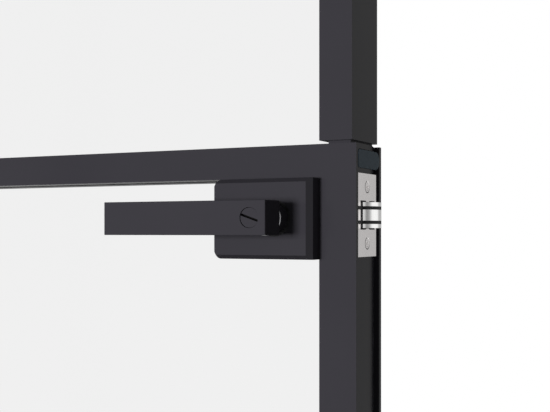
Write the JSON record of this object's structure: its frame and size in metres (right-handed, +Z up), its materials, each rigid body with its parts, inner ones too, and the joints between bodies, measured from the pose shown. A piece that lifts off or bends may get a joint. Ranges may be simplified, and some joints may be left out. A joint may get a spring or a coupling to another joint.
{
  "type": "glazed door leaf in its frame",
  "caption": "Slim black framed glass door in a square frame: hinged leaf with lower and upper panes, lock rail, corner lock box, square levers, sprung bevelled latch and coin turn.",
  "frame": {"origin": "middle of the hinge jamb's foot, on the floor", "axes": "+Z up; the frame lies in the YZ plane with the doorway towards -Y; the leaf stands open at a right angle, along +X from its hinges"},
  "size_m": [0.9023, 0.9153, 2.1],
  "materials": {
    "black_coat": "fine satin black powder coat",
    "clear_glass": "clear polished",
    "black_rubber": "matt",
    "black_nylon": "matt",
    "grey_nylon": "matt dark grey",
    "polished_steel": "polished",
    "plain_steel": "zinc plated",
    "mill_aluminium": "mill",
    "brush_pile": "dense pile"
  },
  "bodies": {
    "frame": {"hinge_jamb": "black_coat", "latch_jamb": "black_coat", "head_jamb": "black_coat", "frame_cleats": "mill_aluminium", "hinge_stop": "black_coat", "latch_stop": "black_coat", "head_stop": "black_coat", "hinge_stop_seal": "black_rubber", "latch_stop_seal": "black_rubber", "head_stop_seal": "black_rubber", "strike_plate": "polished_steel", "strike_box": "black_nylon", "strike_screws": "plain_steel", "hinge_frame_screws": "plain_steel", "hinge_pins": "plain_steel", "hinge_1_frame_wing": "black_coat", "hinge_2_frame_wing": "black_coat", "hinge_3_frame_wing": "black_coat"},
    "leaf": {"lower_latch_stile": "black_coat", "lower_hinge_stile": "black_coat", "upper_latch_post": "black_coat", "upper_hinge_post": "black_coat", "lock_rail": "black_coat", "bottom_rail": "black_coat", "top_rail": "black_coat", "lock_box": "black_coat", "outer_cover": "black_coat", "inner_cover": "black_coat", "hinge_1_leaf_wing": "black_coat", "hinge_2_leaf_wing": "black_coat", "hinge_3_leaf_wing": "black_coat", "lower_glass": "clear_glass", "upper_glass": "clear_glass", "lower_gaskets": "black_rubber", "upper_gaskets": "black_rubber", "latch_splice": "black_nylon", "hinge_splice": "black_nylon", "cover_bushes": "black_nylon", "latch_case": "black_nylon", "latch_edge_cap": "grey_nylon", "hinge_edge_cap": "grey_nylon", "latch_faceplate": "polished_steel", "faceplate_screws": "plain_steel", "hinge_leaf_screws": "plain_steel", "rail_screws": "plain_steel", "cover_bolts": "plain_steel", "latch_spring": "plain_steel", "rail_tenons": "mill_aluminium", "bottom_brush": "brush_pile"},
    "handle": {"outer_lever": "black_coat", "inner_lever": "black_coat", "lever_rings": "polished_steel", "grub_screws": "plain_steel", "spindle": "plain_steel", "latch_cam": "plain_steel"},
    "bolt": {"latch_bolt": "polished_steel", "bolt_strips": "black_nylon"},
    "privacy": {"coin_turn": "black_coat", "privacy_rod": "plain_steel", "thumb_turn": "black_coat"}
  },
  "joints": [
    {"name": "leaf_swing", "type": "hinge", "parent": "frame", "child": "leaf", "pos_m": [0.0395, -0.0195, 1], "axis": [0, 0, 1], "range_deg": [-90, 20]},
    {"name": "lever_turn", "type": "hinge", "parent": "leaf", "child": "handle", "pos_m": [0.8094, -0.05, 1], "axis": [0, -1, 0], "range_deg": [0, 40], "stiffness_Nm_per_rad": 0.5, "springref_deg": -37.24},
    {"name": "latch_slide", "type": "slide", "parent": "leaf", "child": "bolt", "axis": [1, 0, 0], "range_m": [-0.0088, 0], "deforming": ["latch_spring"]},
    {"name": "privacy_turn", "type": "hinge", "parent": "handle", "child": "privacy", "pos_m": [0.8094, -0.05, 1], "axis": [0, -1, 0], "range_deg": [0, 90]}
  ],
  "couplings": [
    {"joint": "latch_slide", "follows": "lever_turn", "m_per_rad": -0.0126}
  ]
}
